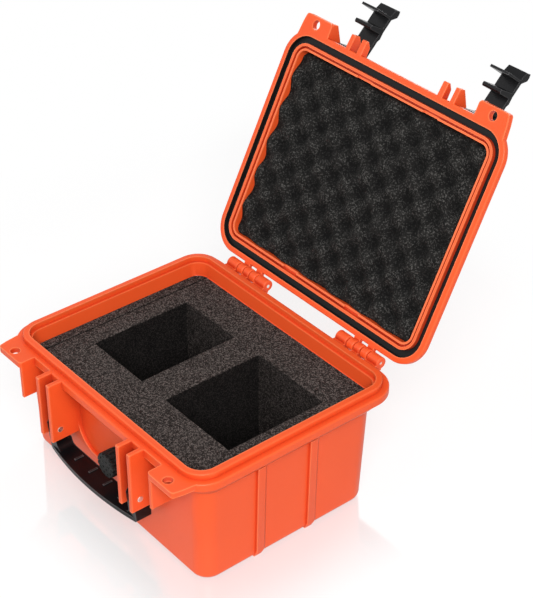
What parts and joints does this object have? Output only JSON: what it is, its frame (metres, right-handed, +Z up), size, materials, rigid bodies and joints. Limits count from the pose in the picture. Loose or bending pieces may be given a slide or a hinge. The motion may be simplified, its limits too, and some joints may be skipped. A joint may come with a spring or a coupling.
{
  "type": "graded card storage case",
  "caption": "Hard plastic carrying case with a hinged lid, swinging latches, a bowed handle, a vent knob and a foam insert with deep pockets for graded cards.",
  "frame": {"origin": "on the surface that the case stands on, midway between its sides, under the middle of the mouth", "axes": "+X to the right seen from the front, +Y to the back where the hinges are, +Z up"},
  "size_m": [0.262, 0.3891, 0.3223],
  "materials": {
    "shell_orange": "fine moulded texture",
    "latch_black": "satin",
    "handle_black": "satin",
    "valve_black": "fluted, matte",
    "seal_rubber": "smooth, dull",
    "foam_dark": "open-cell foam",
    "membrane_white": "thin breathing film",
    "pin_steel": "drawn wire"
  },
  "bodies": {
    "base": {"base_shell": "shell_orange", "foam_insert": "foam_dark", "foam_side_strip": "foam_dark", "foam_base_pad": "foam_dark", "handle_pin_right": "pin_steel", "handle_pin_left": "pin_steel", "hinge_pin_right": "pin_steel", "hinge_pin_left": "pin_steel", "valve_seal": "seal_rubber", "valve_body": "valve_black", "valve_nut": "valve_black", "valve_membrane": "membrane_white"},
    "lid": {"lid_shell": "shell_orange", "lid_seal": "seal_rubber", "lid_foam": "foam_dark", "latch_pin_right": "pin_steel", "latch_pin_left": "pin_steel"},
    "latch_right": {"latch_right": "latch_black"},
    "latch_left": {"latch_left": "latch_black"},
    "handle": {"carry_handle": "handle_black"},
    "valve_knob": {"valve_knob": "valve_black"}
  },
  "joints": [
    {"name": "lid_hinge", "type": "hinge", "parent": "base", "child": "lid", "pos_m": [0, 0.1102, 0.1088], "axis": [1, 0, 0], "range_deg": [0, 117]},
    {"name": "latch_right_pivot", "type": "hinge", "parent": "lid", "child": "latch_right", "pos_m": [0.0772, 0.22033, 0.28882], "axis": [1, 0, 0], "range_deg": [0, 108]},
    {"name": "latch_left_pivot", "type": "hinge", "parent": "lid", "child": "latch_left", "pos_m": [-0.0772, 0.22033, 0.28882], "axis": [1, 0, 0], "range_deg": [0, 108]},
    {"name": "handle_swing", "type": "hinge", "parent": "base", "child": "handle", "pos_m": [0, -0.1082, 0.0622], "axis": [-1, 0, 0], "range_deg": [0, 105]},
    {"name": "valve_knob_turn", "type": "hinge", "parent": "base", "child": "valve_knob", "pos_m": [0.0126, -0.0983, 0.06], "axis": [0, -1, 0], "range_deg": [0, 270]}
  ]
}
